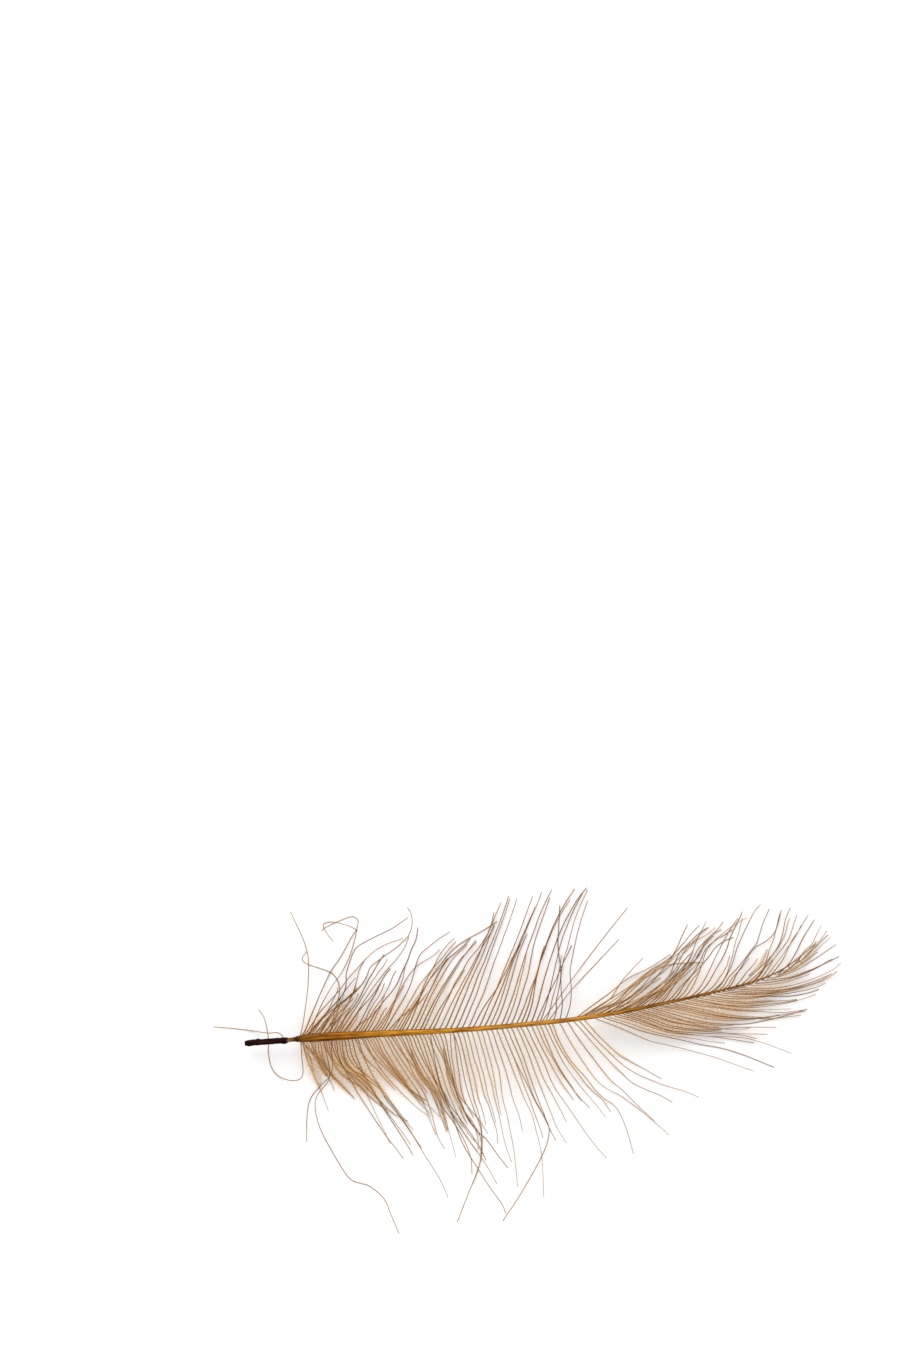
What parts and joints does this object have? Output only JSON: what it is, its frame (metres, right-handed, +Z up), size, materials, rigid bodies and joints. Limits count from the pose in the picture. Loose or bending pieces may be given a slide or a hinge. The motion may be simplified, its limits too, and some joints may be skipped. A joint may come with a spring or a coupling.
{
  "type": "cul de canard feather",
  "caption": "Small fluffy duck preen-gland feather lying flat: dark quill stub, tapering shaft curving up to the tip, and loose barbs in two open vanes.",
  "frame": {"origin": "centre of the bounding box in plan, on the surface that the feather lies on", "axes": "+X from the cut quill to the tip, +Y from the lower vane to the upper vane, +Z up from the surface"},
  "size_m": [0.0627, 0.0349, 0.0032],
  "materials": {
    "feather": "matte"
  },
  "bodies": {
    "root": {"feather": "feather"}
  },
  "joints": []
}
